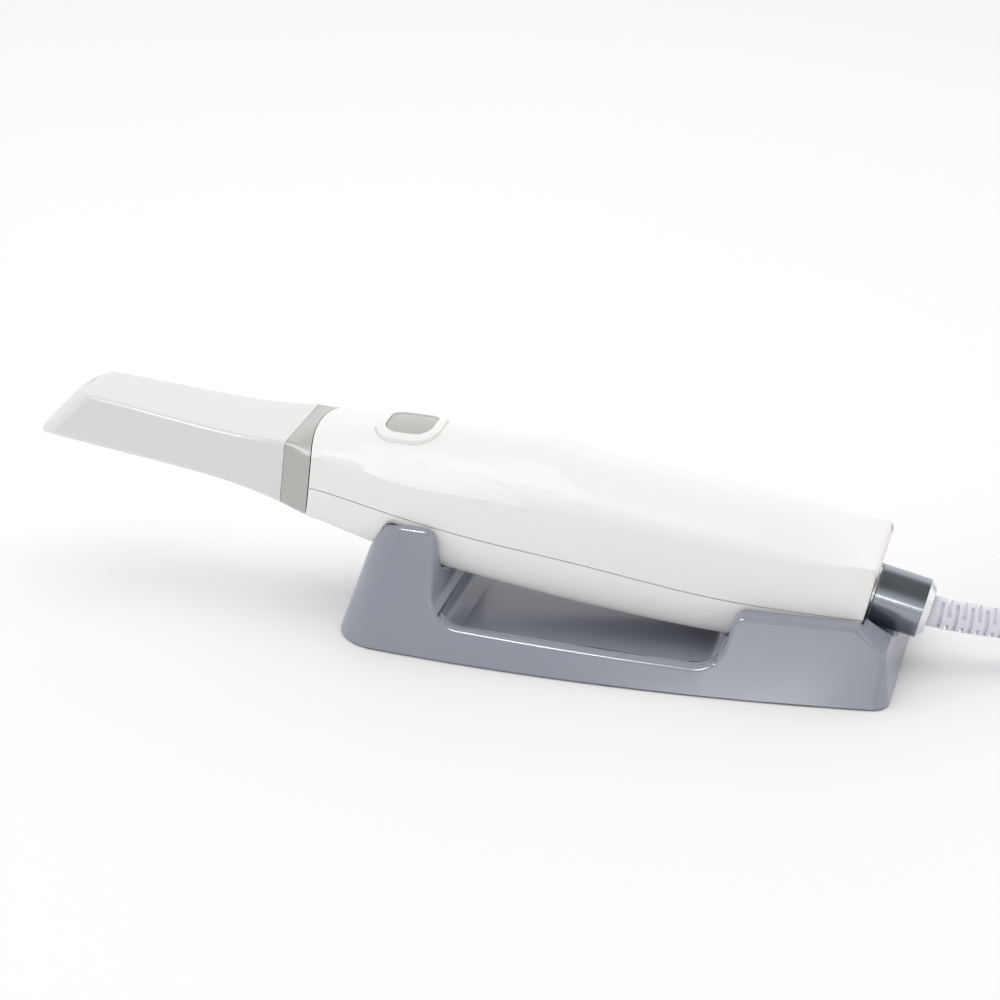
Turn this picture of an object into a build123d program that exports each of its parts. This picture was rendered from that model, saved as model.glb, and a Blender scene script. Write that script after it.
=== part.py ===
from build123d import *
import math
import os

# Intraoral scanner resting in its desk cradle, with its cord put away in a coil.
# Millimetres, +Z up, the cradle's feet on z = 0, the scan tip towards -X.
# The scanner is drawn level along +X from the front of its collar, then tilted into the cradle.

# Pose of the scanner in the cradle
rest_tilt = 6.8
collar_x = -56.5
collar_z = 45.0

# Body
body_length = 181.0
body_half_width = 20.8
body_height = 21.7
body_depth = 20.4
body_wall = 2.0
seam_gap = 0.3
upright_below_seam = 2.5
rear_lean = 6.1
rear_wall = 2.4
collar_length = 9.6
collar_bulge_radius = 58.0
collar_bulge_apex = 6.2
thumb_rise = 1.0
thumb_half_width = 19.0
thumb_end = 83.5
thumb_start = 14.0
thumb_round = 12.0
thumb_slope = 4.4
screw_seat_share = 0.54

# Scan tip
tip_length = 82.0
tip_mouth_half_width = 16.3
tip_nose_half_width = 10.1
tip_mouth_height = 11.7
tip_mouth_depth = 9.7
tip_wall = 1.5
tip_corner = 1.7
nose_angle = 53.0
nose_top = 71.0
nose_top_round = 12.0
nose_bow_radius = 15.0
nose_bow_depth = 2.9
window_length = 16.0
window_width = 15.0
window_from_nose = 6.0
mirror_thickness = 1.1
barrel_length = 38.0
barrel_clearance = 0.6
barrel_wall = 1.6
glass_thickness = 1.2
fit_gap = 0.1
rest_gap = 0.3

# Optics
lens_radius = 7.0
lens_barrel_wall = 1.0
lens_barrel_length = 28.0
lens_barrel_start = 10.0
lens_thickness = 3.0
prism_side = 12.0
board_thickness = 1.6
sensor_side = 18.0
projector_length = 16.0
projector_width = 9.0
projector_height = 13.0

# Chassis and boards
chassis_start = 21.0
chassis_rear_room = 28.0
chassis_half_width = 10.8
chassis_top = -8.3
chassis_thickness = 2.0
fin_count = 8
fin_thickness = 1.0
fin_height = 9.0
sink_length = 34.0
sink_start = 70.0
board_start = 64.0
board_rear_room = 33.0
board_half_width = 14.0
board_height = 5.5
standoff_radius = 2.2
screw_radius = 1.2
screw_head_radius = 2.1
screw_head_height = 1.3

# Button
button_centre = 34.5
button_length = 14.0
button_width = 15.0
button_round = 4.6
button_rise = 1.3
button_depth = 2.6
button_gap = 0.3
button_travel = 0.8
bezel_border = 3.0
bezel_rise = 1.8
bezel_flange = 1.5
bezel_flange_thickness = 1.2
switch_side = 6.0
switch_height = 2.6
plunger_radius = 1.6
plunger_length = 2.4
running_gap = 0.05

# Rear connector, measured out of the rear wall along its own axis
connector_drop = 1.7
sleeve_radius = 9.0
sleeve_length = 17.5
sleeve_chamfer = 2.0
sleeve_travel = 2.0
sleeve_start = 0.6
sleeve_wall = 1.3
sleeve_mouth = 5.5
sleeve_lip = 2.4
socket_radius = 7.4
socket_depth = 14.0
plug_radius = 5.6
plug_nose = 11.0
pin_radius = 0.45
pin_length = 3.0
pin_count = 6

# Strain relief and cord
boot_radius = 4.7
boot_end_radius = 4.2
boot_core_radius = 3.5
boot_slot = 1.1
boot_pitch = 2.2
boot_slots = 14
boot_bridge = 2.4
boot_flange = 2.0
cord_radius = 2.9
coil_turn_radius = 33.0
coil_centre = (207.5, 48.0)
coil_layers = 3
tie_thickness = 0.9
tie_width = 12.0
tie_turn = -40.0
usb_shell_width = 12.0
usb_shell_height = 4.5
usb_shell_length = 12.0
usb_shell_wall = 0.4
usb_grip_round = 2.4
usb_grip_width = 16.0
usb_grip_height = 8.0
usb_grip_length = 32.0

# Cradle, as long as the body and a little proud of its ends
cradle_front = -38.0
cradle_length = 0.937 * body_length
cradle_half_width = 38.5
cradle_height = 36.6
cradle_wall = 2.6
cradle_lift = 0.6
rim_front_height = 10.0
rim_rear_height = 7.4
front_post_length = 33.0
rear_post_length = 49.1
rear_post_height = 22.0
rear_slope_length = 11.0
rear_end_height = 15.0
post_top_round = 3.8
post_foot_round = 9.0
trough_floor = 4.6
trough_half_width = 28.5
trough_corner = 7.0
saddle_notch_radius = 15.0
foot_radius = 6.0
foot_height = 1.4

cut_over = 1.0
far = 200.0

# Shares of the body's own sizes along its length, from the collar's back to the rear wall
station_shares = (0.053, 0.166, 0.303, 0.414, 0.50, 0.60, 0.75, 0.88, 1.03)
half_width_shares = (0.9375, 0.976, 1.0, 1.0, 1.0, 0.995, 0.976, 0.942, 0.87)
top_shares = (0.752, 0.843, 0.94, 0.986, 1.0, 0.983, 0.945, 0.875, 0.68)
crease_shares = (0.447, 0.415, 0.405, 0.45, 0.461, 0.48, 0.49, 0.53, 0.55)
belly_shares = (0.627, 0.794, 0.907, 0.955, 0.982, 0.99, 0.956, 0.848, 0.667)
seam_shares = (0.0, 0.074, 0.167, 0.196, 0.201, 0.230, 0.260, 0.206, 0.113)
softness_shares = (0.0, 0.0, 0.1, 0.3, 0.5, 0.7, 0.9, 1.0, 1.0)
thumb_rise_shares = (0.0, 0.75, 1.0, 1.0, 1.0, 1.0, 1.0, 1.0, 1.0)

# Shares of the scan tip's own sizes along its length, from the nose to inside the collar
tip_station_shares = (-1.12, -0.96, -0.80, -0.64, -0.48, -0.32, -0.16, 0.0, 0.16)
tip_height_shares = (0.838, 0.838, 0.838, 0.836, 0.828, 0.824, 0.864, 1.0, 1.16)
tip_depth_shares = (0.763, 0.76, 0.752, 0.735, 0.72, 0.725, 0.80, 1.0, 1.2)

# Share of a rounding that a curve's middle points stand off its ends to follow an arc
arc_share = 0.5523
# Where along the dome's curve it is cut in two, and how fast inner corners get smaller inward
dome_cut_share = 0.3
inner_corner_share = 0.12


def seated(shape):
    """Tilt and move a piece of the scanner from its own level frame into the cradle."""
    return Location((collar_x, 0, collar_z), (0, rest_tilt, 0)) * shape


def on_connector(shape):
    """Move a piece drawn along +Z onto the connector's axis, square to the rear wall."""
    start = rear_plane_x(-connector_drop)
    return Location((start, 0, -connector_drop), (0, 90 + rear_lean, 0)) * shape


def rear_plane_x(height):
    """Where the leaning rear face stands at a height above the scanner's axis."""
    return body_length - rear_wall / 2 + height * math.tan(math.radians(rear_lean))


def write(shape, name):
    """Write one piece to its own file and tell its volume."""
    os.makedirs("parts", exist_ok=True)
    solids = shape.solids()
    body = solids[0] if len(solids) == 1 else Compound(children=solids)
    export_step(body, "parts/" + name + ".step")
    print(name, len(solids), "solids", round(sum(s.volume for s in solids), 1), "mm3")


def slab(low, high):
    """Box between two corners."""
    size = [b - a for a, b in zip(low, high)]
    middle = [(a + b) / 2 for a, b in zip(low, high)]
    return Location(tuple(middle)) * Box(*size)


def cut_curve(points, share):
    """Control points of the two halves of a curve that is cut at a share of its run."""
    rows = [points]
    while len(rows[-1]) > 1:
        last = rows[-1]
        rows.append([tuple(a + (b - a) * share for a, b in zip(p, q)) for p, q in zip(last, last[1:])])
    return [row[0] for row in rows], [row[-1] for row in reversed(rows)]


def mirrored_wire(u, half_flat, belly, curves):
    """Closed outline across the scanner: a flat belly and the same curves up both sides."""
    edges = [Line((u, -half_flat, belly), (u, half_flat, belly))]
    for sign in (1, -1):
        for points in curves:
            placed = [(u, sign * y, z) for y, z in points]
            edges.append(Line(*placed) if len(placed) == 2 else Bezier(*placed))
    return Wire(edges)


def section_wire(u, half, seam, belly, crease, top, softness):
    """Body section: flat belly, curved lower sides, upright sides, domed top."""
    flat = half * 0.5
    shoulder = half * 0.965
    pull = half * (0.02 + 0.15 * (1 - softness))
    rise = (top - crease) * (0.42 + 0.12 * softness)
    foot = seam - upright_below_seam
    drop = foot - belly
    lower = [(flat, belly), (half * 0.86, belly), (half * 0.97, foot - drop * 0.62), (half, foot)]
    upright = [(half, foot), (shoulder, crease)]
    dome = [(shoulder, crease), (shoulder - pull, crease + rise), (shoulder * 0.52, top), (0, top)]
    side, cap = cut_curve(dome, dome_cut_share)
    return mirrored_wire(u, flat, belly, [lower, upright, side, cap])


def tip_wire(station, inset):
    """Scan tip section at one of its stations: a rounded rectangle, shrunk by an inset."""
    share = tip_station_shares[station]
    u = share * tip_length
    half = tip_mouth_half_width + (tip_mouth_half_width - tip_nose_half_width) * share - inset
    top = tip_mouth_height * tip_height_shares[station] - inset
    belly = inset - tip_mouth_depth * tip_depth_shares[station]
    corner = tip_corner * (1 - inner_corner_share * inset)
    keel = 2 * corner
    near = 1 - arc_share
    foot = belly + keel
    lower = [(half - keel, belly), (half - keel * near, belly), (half, belly + keel * near), (half, foot)]
    upright = [(half, foot), (half, top - corner)]
    edge = half - corner
    shoulder = [(half, top - corner), (half, top - corner * near), (half - corner * near, top), (edge, top)]
    cap = [(edge, top), (edge * 2 / 3, top), (edge / 3, top), (0, top)]
    return mirrored_wire(u, half - keel, belly, [lower, upright, shoulder, cap])


def body_form(grow, rise=0):
    """The body's outer form grown outward all over, or shrunk by its wall; its back may rise."""
    wires = []
    rows = zip(station_shares, half_width_shares, top_shares, crease_shares,
               belly_shares, seam_shares, softness_shares, thumb_rise_shares)
    for along, half, top, crease, belly, seam, softness, lift in rows:
        wires.append(section_wire(
            along * body_length,
            half * body_half_width + grow,
            -seam * body_depth,
            -belly * body_depth - grow,
            crease * body_height + grow / 2,
            top * body_height + grow + lift * rise,
            softness,
        ))
    main = Solid.make_loft(wires)
    front = tip_wire(tip_station_shares.index(0), -grow)
    return Solid.make_loft([front, wires[0]], ruled=True) + main


def behind_rear(inset):
    """Everything behind the leaning rear face, moved forward by an inset."""
    block = slab((0, -far, -far), (far, far, far))
    return Location((body_length - rear_wall / 2 - inset, 0, 0), (0, rear_lean, 0)) * block


def make_outer_form():
    """The whole body and collar, cut square to the connector at the rear."""
    return body_form(0) - behind_rear(0)


def above_seam(shift):
    """Everything above the seam line, raised by a shift."""
    points = [(0, shift)]
    for along, seam in zip(station_shares, seam_shares):
        points.append((along * body_length, shift - seam * body_depth))
    first = points[0]
    last = points[-1]
    with BuildSketch(Plane.XZ) as profile:
        with BuildLine():
            Spline(*points)
            Line(last, (last[0], far))
            Line((last[0], far), (first[0], far))
            Line((first[0], far), first)
        make_face()
    return extrude(profile.sketch, far, both=True)


def behind_collar(shift):
    """Everything behind the collar's bowed back edge, moved back by a shift."""
    centre = collar_bulge_apex + collar_bulge_radius
    round_front = Location((centre, 0, 0)) * Cylinder(collar_bulge_radius - shift, 2 * far)
    half = collar_bulge_radius - shift
    back = slab((centre, -half, -far), (far + centre, half, far))
    return round_front + back


def pad(centre, length, width, corner, low, high):
    """Upright block with rounded corners standing over the body's axis."""
    with BuildSketch(Plane.XY.offset(low)) as outline:
        with Locations((centre, 0)):
            RectangleRounded(length, width, corner)
    return extrude(outline.sketch, high - low)


def tip_form(inset, mouth):
    """The tip's tapered form, shrunk by an inset, with its open end cut off at the mouth."""
    wires = [tip_wire(station, inset) for station in range(len(tip_station_shares))]
    return Solid.make_loft(wires) - slab((mouth, -far, -far), (far, far, far))


def tip_top():
    """Height of the tip's flat top behind the nose."""
    return tip_mouth_height * tip_height_shares[0]


def before_nose(inset):
    """Everything in front of the slanted nose face, moved back by an inset."""
    block = slab((-far, -far, -far), (0, far, far))
    return on_nose(Pos(inset, 0, 0) * block)


def on_nose(shape):
    """Lean a piece drawn against x = 0 onto the slanted nose face."""
    return Location((-nose_top, 0, tip_top()), (0, 90 - nose_angle, 0)) * shape


def nose_sides():
    """What is cut off to bow the slanted nose face from side to side."""
    block = slab((-far, -far, -far), (nose_bow_radius / 2, far, far))
    return on_nose(block - Pos(nose_bow_radius, 0, 0) * Cylinder(nose_bow_radius, 2 * far))


def nose_profile():
    """What stays of the tip seen from the side, with a large round where nose and top meet."""
    reach = far / math.tan(math.radians(nose_angle))
    top = tip_top() + fit_gap / 5
    flat_end = -nose_top + nose_top_round
    with BuildSketch(Plane.XZ) as profile:
        with BuildLine():
            Polyline(
                (-nose_top, top),
                (flat_end, top),
                (flat_end, far),
                (far, far),
                (far, top - far),
                (-nose_top - reach, top - far),
                close=True,
            )
        make_face()
        corner = profile.vertices().sort_by_distance((-nose_top, top, 0))[:1]
        fillet(corner, nose_top_round)
    return extrude(profile.sketch, far, both=True)


def tip_window_centre():
    """Middle of the window in the tip's underside."""
    return -tip_length + window_from_nose + window_length / 2


def make_tip_sleeve():
    outer = (tip_form(0, 0) & nose_profile()) - nose_sides()
    inner = tip_form(tip_wall, cut_over) - before_nose(tip_wall + nose_bow_depth)
    window = pad(tip_window_centre(), window_length, window_width, tip_corner, -tip_mouth_depth - cut_over, 0)
    return outer - inner - window


def make_tip_mirror():
    front = tip_wall + nose_bow_depth + fit_gap
    room = tip_form(tip_wall + rest_gap, 0) - before_nose(front)
    behind = tip_form(tip_wall + rest_gap, 0) - before_nose(front + mirror_thickness)
    strip = room - behind
    belly = tip_mouth_depth * tip_depth_shares[1]
    floor = slab((-far, -far, -far), (far, far, tip_wall + cut_over - belly))
    roof = slab((-far, -far, tip_top() - tip_wall - cut_over), (far, far, far))
    return strip - floor - roof


def barrel_form(inset, front, back):
    """Tapered nozzle that carries the tip, a clearance inside the tip's wall."""
    shape = tip_form(tip_wall + barrel_clearance + inset, back)
    return shape - slab((-far, -far, -far), (front, far, far))


def make_optical_barrel():
    root = collar_bulge_apex
    outer = barrel_form(0, -barrel_length, root)
    bore = barrel_form(barrel_wall, -barrel_length - cut_over, root + cut_over)
    seat = barrel_form(barrel_wall / 2, -barrel_length - cut_over, root + cut_over)
    seat = seat - slab((-barrel_length + glass_thickness, -far, -far), (far, far, far))
    return outer - bore - seat


def make_barrel_window():
    glass = barrel_form(barrel_wall / 2 + fit_gap, -barrel_length, 0)
    return glass - slab((-barrel_length + glass_thickness - fit_gap, -far, -far), (far, far, far))


def make_front_collar(outer):
    band = outer - behind_collar(-seam_gap / 2) - slab((-far, -far, -far), (rest_gap / 2, far, far))
    bore = barrel_form(-fit_gap, -cut_over, collar_length + cut_over)
    return band - bore


def screw_places():
    """Where the four case screws stand, off the body's axis."""
    along = (0.13 * body_length, 0.87 * body_length)
    across = 0.68 * body_half_width
    return [(u, side * across) for u in along for side in (-1, 1)]


def case_boss(place, radius, low, high):
    """Upright round boss."""
    return Location((place[0], place[1], (low + high) / 2)) * Cylinder(radius, high - low)


def thumb_block():
    """Upright block over the thumb rest; its rear face slopes, so that the rest ends in a soft step."""
    middle = 0.95 * body_height
    outlines = []
    for height in (middle - thumb_round / 2, middle + thumb_round / 2):
        end = thumb_end + (middle - height) * thumb_slope
        with BuildSketch(Plane.XY.offset(height)) as outline:
            with Locations(((thumb_start + end) / 2, 0)):
                RectangleRounded(end - thumb_start, 2 * thumb_half_width, thumb_round)
        outlines.append(outline.sketch.wire())
    return Solid.make_loft(outlines, ruled=True)


def make_shells(outer):
    """The two mouldings that close on each other along the seam."""
    inner = body_form(-body_wall) - behind_rear(rear_wall)
    hollow = outer - inner
    case = hollow & behind_collar(seam_gap / 2)

    thumb = (body_form(0, thumb_rise) & thumb_block()) - body_form(-body_wall / 2)
    upper = (case & above_seam(seam_gap / 2)) + thumb
    lower = case - above_seam(-seam_gap / 2)

    bosses_up = [case_boss(p, screw_head_radius + cut_over, -seam_shares[4] * body_depth + cut_over, far)
                 for p in screw_places()]
    for boss in bosses_up:
        upper = upper + (boss & body_form(-body_wall / 2) - behind_rear(rear_wall / 2))
    for place in screw_places():
        upper = upper - case_boss(place, screw_radius + fit_gap, -far, board_height + cut_over)
        post = case_boss(place, screw_head_radius + cut_over, -far, -seam_shares[4] * body_depth)
        lower = lower + (post & body_form(-body_wall / 2))
        lower = lower - case_boss(place, screw_radius + fit_gap, -far, 0)
        lower = lower - case_boss(place, screw_head_radius + fit_gap, -far, -body_depth * screw_seat_share)

    border = bezel_border + fit_gap
    opening = pad(button_centre, button_length + 2 * border, button_width + 2 * border,
                  button_round + bezel_border - cut_over / 2, 0, far)
    upper = upper - opening

    hole = on_connector(Cylinder(socket_radius + fit_gap, 4 * rear_wall))
    upper = upper - hole
    lower = lower - hole
    return upper, lower


def make_bezel():
    length = button_length + 2 * bezel_border
    width = button_width + 2 * bezel_border
    corner = button_round + bezel_border - cut_over / 2
    low = switch_top() - switch_height + fit_gap
    border = pad(button_centre, length, width, corner, low, far) & body_form(bezel_rise)
    flange = pad(button_centre, length + 2 * bezel_flange, width + 2 * bezel_flange, corner + bezel_flange,
                 low, low + bezel_flange_thickness + cut_over)
    flange = flange & body_form(-body_wall - fit_gap)
    window = pad(button_centre, button_length + 2 * button_gap, button_width + 2 * button_gap,
                 button_round + button_gap, 0, far)
    return border + flange - window


def cap_underside():
    """Height of the flat underside of the button cap."""
    return body_height * top_shares[1] + button_rise - button_depth


def make_button_cap():
    block = pad(button_centre, button_length, button_width, button_round, cap_underside(), far)
    return block & body_form(button_rise)


def make_plunger():
    top = cap_underside()
    return case_boss((button_centre, 0), plunger_radius, top - plunger_length, top)


def switch_top():
    """Top of the switch's case, a travel and a gap under the cap."""
    return cap_underside() - button_travel - button_gap


def make_tact_switch():
    high = switch_top()
    low = high - switch_height
    case = pad(button_centre, switch_side, switch_side, fit_gap, low, high)
    well_floor = cap_underside() - plunger_length - button_travel - rest_gap
    return case - case_boss((button_centre, 0), plunger_radius + running_gap, well_floor, high + cut_over)


def make_button_board():
    top = switch_top() - switch_height
    length = button_length + 2 * bezel_border
    width = button_width + bezel_border
    board = pad(button_centre, length, width, cut_over, top - board_thickness, top)
    return board


def make_lens_barrel():
    tube = Cylinder(lens_radius + lens_barrel_wall, lens_barrel_length)
    bore = Cylinder(lens_radius - lens_barrel_wall, lens_barrel_length + cut_over)
    seat = Cylinder(lens_radius + fit_gap / 2, lens_thickness)
    end = lens_barrel_length / 2 - lens_thickness / 2
    tube = tube - bore - Pos(0, 0, end) * seat - Pos(0, 0, -end) * seat
    return along_axis(tube, lens_barrel_start + lens_barrel_length / 2)


def along_axis(shape, u):
    """Turn a piece drawn along +Z onto the body's axis and move it to a station."""
    return Location((u, 0, 0), (0, 90, 0)) * shape


def make_lens(u):
    """Biconvex lens: two shallow domes on a round edge."""
    bulge = lens_thickness * 0.25
    reach = (lens_radius ** 2 + bulge ** 2) / (2 * bulge)
    ball = Sphere(reach)
    half = lens_thickness / 2
    disc = Cylinder(lens_radius, lens_thickness)
    disc = disc & (Pos(0, 0, half - reach) * ball) & (Pos(0, 0, reach - half) * ball)
    return along_axis(disc, u)


def make_prism():
    start = lens_barrel_start + lens_barrel_length + 2 * body_wall
    half = prism_side / 2
    block = slab((start, -half, -half), (start + prism_side, half, half))
    return chamfer(block.edges().filter_by(Axis.Y), prism_side * 0.05)


def prism_end():
    return lens_barrel_start + lens_barrel_length + 2 * body_wall + prism_side


def make_prism_bracket():
    """Block that carries the prism and the rear of the lens barrel on the chassis."""
    start = chassis_start + body_wall
    block = slab((start, -prism_side / 2, chassis_top), (prism_end(), prism_side / 2, -prism_side / 2))
    groove = along_axis(Cylinder(lens_radius + lens_barrel_wall + fit_gap, far), 0)
    front_part = groove - slab((prism_end() - prism_side - body_wall, -far, -far), (far, far, far))
    return block - front_part


def make_projector():
    """Pattern projector beside the prism: a housing with cooling ribs and a round lens mouth."""
    middle = prism_end() - prism_side / 2
    near = prism_side / 2 + rest_gap
    box = slab((middle - projector_length / 2, near, -projector_height / 2),
               (middle + projector_length / 2, near + projector_width, projector_height / 2))
    box = fillet(box.edges().filter_by(Axis.Z), lens_barrel_wall)
    for i in range(4):
        low = -projector_height / 2 + (i + 0.7) * projector_height / 5
        box = box - slab((middle - far, near + projector_width * 0.7, low),
                         (middle + far, near + far, low + fin_thickness))
    foot = slab((middle - projector_length / 2, near, chassis_top),
                (middle - projector_length / 6, near + projector_width * 0.5, -projector_height / 2))
    mouth = Location((middle, near, 0), (90, 0, 0)) * Cylinder(projector_height * 0.3, projector_width * 0.5)
    return box + foot - mouth


def make_sensor():
    """Camera board standing behind the prism, and the image sensor on its front."""
    front = prism_end() + body_wall
    half = sensor_side / 2
    board = slab((front, -half, chassis_top), (front + board_thickness, half, half))
    chip_half = sensor_side * 0.28
    chip = slab((front - board_thickness * 0.9, -chip_half, -chip_half), (front, chip_half, chip_half))
    return board, chip


def chassis_length():
    """The chassis plate runs to a named room in front of the rear wall."""
    return body_length - chassis_rear_room - chassis_start


def board_length():
    """The main board runs to a named room in front of the rear wall."""
    return body_length - board_rear_room - board_start


def make_chassis():
    plate = slab((chassis_start, -chassis_half_width, chassis_top - chassis_thickness),
                 (chassis_start + chassis_length(), chassis_half_width, chassis_top))
    plate = fillet(plate.edges().filter_by(Axis.Z), chassis_thickness)
    for i in range(3):
        centre = chassis_start + chassis_length() * (0.62 + 0.13 * i)
        plate = plate - pad(centre, chassis_length() * 0.09, chassis_half_width, chassis_thickness, -far, 0)
    return plate


def make_heat_sink():
    half = chassis_half_width - cut_over
    base_end = (sink_start + sink_length, half, chassis_top + chassis_thickness)
    base = slab((sink_start, -half, chassis_top), base_end)
    for i in range(fin_count):
        y = -half + i * (2 * half - fin_thickness) / (fin_count - 1)
        fin_end = (sink_start + sink_length, y + fin_thickness, chassis_top + fin_height)
        base = base + slab((sink_start, y, chassis_top), fin_end)
    return base


def standoff_places():
    inset = 1.6 * standoff_radius
    along = (board_start + inset, board_start + board_length() - 2 * inset)
    across = chassis_half_width - standoff_radius
    return [(u, side * across) for u in along for side in (-1, 1)]


def make_standoffs():
    posts = []
    for u, y in standoff_places():
        hexagon = Pos(u, y, chassis_top) * RegularPolygon(standoff_radius, 6)
        posts.append(extrude(hexagon, board_height - chassis_top))
    return Compound(children=[p.solid() for p in posts])


def make_board():
    board = slab((board_start, -board_half_width, board_height),
                 (board_start + board_length(), board_half_width, board_height + board_thickness))
    board = fillet(board.edges().filter_by(Axis.Z), cut_over)
    return board


# Each chip's place as a share of the board's length, and its length, width and height
# as shares of the board's half width
chip_shares = ((0.28, 1.0, 1.0, 0.14), (0.55, 0.7, 0.9, 0.1), (0.76, 0.5, 0.6, 0.2))


def make_chips():
    """Packages soldered on top of the main board."""
    top = board_height + board_thickness
    size = board_half_width
    chips = []
    for share, length, width, tall in chip_shares:
        u = board_start + share * board_length()
        half_length = length * size / 2
        half_width = width * size / 2
        chip = slab((u - half_length, -half_width, top), (u + half_length, half_width, top + tall * size))
        chips.append(chip.solid())
    return Compound(children=chips)


def make_board_screws():
    screws = []
    top = board_height + board_thickness
    for u, y in standoff_places():
        screws.append(case_boss((u, y), screw_head_radius, top, top + screw_head_height).solid())
    return Compound(children=screws)


def make_case_screws():
    screws = []
    for place in screw_places():
        low = -body_depth * screw_seat_share
        head = case_boss(place, screw_head_radius, low - screw_head_height, low)
        shank = case_boss(place, screw_radius, low, board_height)
        slot = slab((place[0] - screw_radius, place[1] - fit_gap, low - far),
                    (place[0] + screw_radius, place[1] + fit_gap, low - screw_head_height / 2))
        screws.append((head + shank - slot).solid())
    return Compound(children=screws)


def ring(outer_radius, inner_radius, low, high):
    """Tube along +Z between two heights."""
    middle = (low + high) / 2
    tube = Cylinder(outer_radius, high - low) - Cylinder(inner_radius, high - low + cut_over)
    return Pos(0, 0, middle) * tube


def rod(radius, low, high):
    return Pos(0, 0, (low + high) / 2) * Cylinder(radius, high - low)


def make_socket():
    barrel = ring(socket_radius, plug_radius + fit_gap, -socket_depth, 0)
    nut_end = -rear_wall - fit_gap
    nut = ring(socket_radius + body_wall, socket_radius - fit_gap, nut_end - 2 * body_wall, nut_end)
    floor = rod(socket_radius, -socket_depth - body_wall, -socket_depth)
    pins = rod(pin_radius + fit_gap, -socket_depth - far, far)
    body = barrel + nut + floor
    for spot in PolarLocations(plug_radius * 0.5, pin_count):
        body = body - spot * pins
    return body


def make_plug_core():
    tail = sleeve_length - sleeve_lip - sleeve_travel - fit_gap
    nose = ring(plug_radius, plug_radius - lens_barrel_wall, -plug_nose, 0)
    hub = ring(sleeve_radius - sleeve_wall - fit_gap, plug_radius - lens_barrel_wall, fit_gap, tail)
    joint = ring(plug_radius, plug_radius - lens_barrel_wall, -fit_gap, fit_gap)
    return nose + joint + hub


def make_plug_insert():
    radius = plug_radius - lens_barrel_wall
    body = rod(radius, -plug_nose, 0)
    pin = rod(pin_radius, -plug_nose - pin_length, -plug_nose + cut_over)
    for spot in PolarLocations(plug_radius * 0.5, pin_count):
        body = body + spot * pin
    return body


def make_release_sleeve():
    outside = rod(sleeve_radius, sleeve_start, sleeve_length)
    rim = outside.edges().group_by(Axis.Z)[-1]
    outside = chamfer(rim, sleeve_chamfer)
    lead = outside.edges().group_by(Axis.Z)[0]
    outside = chamfer(lead, fit_gap * 4)
    bore = rod(sleeve_radius - sleeve_wall, 0, sleeve_length - sleeve_lip)
    mouth = rod(sleeve_mouth, 0, far)
    return outside - bore - mouth


# Cord route after the strain relief, chosen by hand: it sinks to the floor and runs into the coil
boot_points = ((137.4, 0.0, 18.45), (147.0, 0.3, 16.3), (160.0, 3.4, 15.2), (174.5, 7.4, 12.3))
cord_points = (
    (174.6, 7.43, 12.28),
    (184.0, 10.0, 10.4),
    (194.5, 11.0, 6.2),
    (206.0, 9.3, 3.9),
)

# Tail route, from the coil's middle: along the inner turn, up onto the coil, to the plug's grip
tail_points = (
    (25.6, -9.3, 15.5),
    (27.3, 5.5, 18.0),
    (20.6, 18.5, 21.6),
    (10.5, 26.3, 22.7),
    (0.0, 27.2, 22.7),
)


def boot_path():
    return Bezier(*boot_points)


def make_strain_relief():
    """Slotted rubber boot: rings tied by bridges that swap sides from slot to slot."""
    path = boot_path()
    count = 7
    wires = []
    for i in range(count):
        share = i / (count - 1)
        radius = boot_radius + (boot_end_radius - boot_radius) * share
        plane = Plane(origin=path @ share, z_dir=path % share)
        wires.append((plane * Circle(radius)).wire())
    boot = Solid.make_loft(wires)
    for i in range(boot_slots):
        share = (boot_flange + sleeve_lip + i * boot_pitch) / path.length
        plane = Plane(origin=path @ share, x_dir=(0, 1, 0), z_dir=path % share)
        cut = Cylinder(boot_radius + cut_over, boot_slot) - Cylinder(boot_core_radius, boot_slot)
        if i % 2:
            bridge = Box(4 * boot_radius, boot_bridge, boot_slot)
        else:
            bridge = Box(boot_bridge, 4 * boot_radius, boot_slot)
        boot = boot - plane.location * (cut - bridge)
    return boot


def corner_radii(points):
    """Radius for each corner of a route: 0.45 of its shorter run over the tangent of half the turn."""
    radii = []
    for a, b, c in zip(points, points[1:], points[2:]):
        first = Vector(*b) - Vector(*a)
        second = Vector(*c) - Vector(*b)
        turn = math.radians(first.get_angle(second))
        radii.append(0.45 * min(first.length, second.length) / math.tan(turn / 2))
    return radii


def make_cord():
    radii = corner_radii(cord_points)
    path = FilletPolyline(*cord_points, radius=radii)
    plane = Plane(origin=path @ 0, z_dir=path % 0)
    tube = sweep(plane * Circle(cord_radius), path=path)
    print("cord radii", [round(r, 1) for r in radii], "length", round(path.length, 1))
    print("cord volume share", round(tube.volume / (math.pi * cord_radius ** 2 * path.length), 4))
    return tube - make_coil()


def make_cord_tail():
    """The cord's last stretch: off the inner top turn, up and over the coil to the plug."""
    points = [(coil_centre[0] + x, coil_centre[1] + y, z) for x, y, z in tail_points]
    radii = corner_radii(points)
    path = FilletPolyline(*points, radius=radii)
    plane = Plane(origin=path @ 0, z_dir=path % 0)
    tube = sweep(plane * Circle(cord_radius), path=path)
    print("tail radii", [round(r, 1) for r in radii], "length", round(path.length, 1))
    print("tail volume share", round(tube.volume / (math.pi * cord_radius ** 2 * path.length), 4))
    return tube - make_coil()


def make_coil():
    half = coil_layers * cord_radius
    low = tie_thickness + fit_gap
    with BuildSketch(Plane.XZ) as section:
        with Locations((coil_turn_radius, low + half)):
            RectangleRounded(2 * half, 2 * half, cord_radius)
    torus = revolve(section.sketch, Axis.Z, 360)
    return Pos(coil_centre[0], coil_centre[1], 0) * torus


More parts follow.
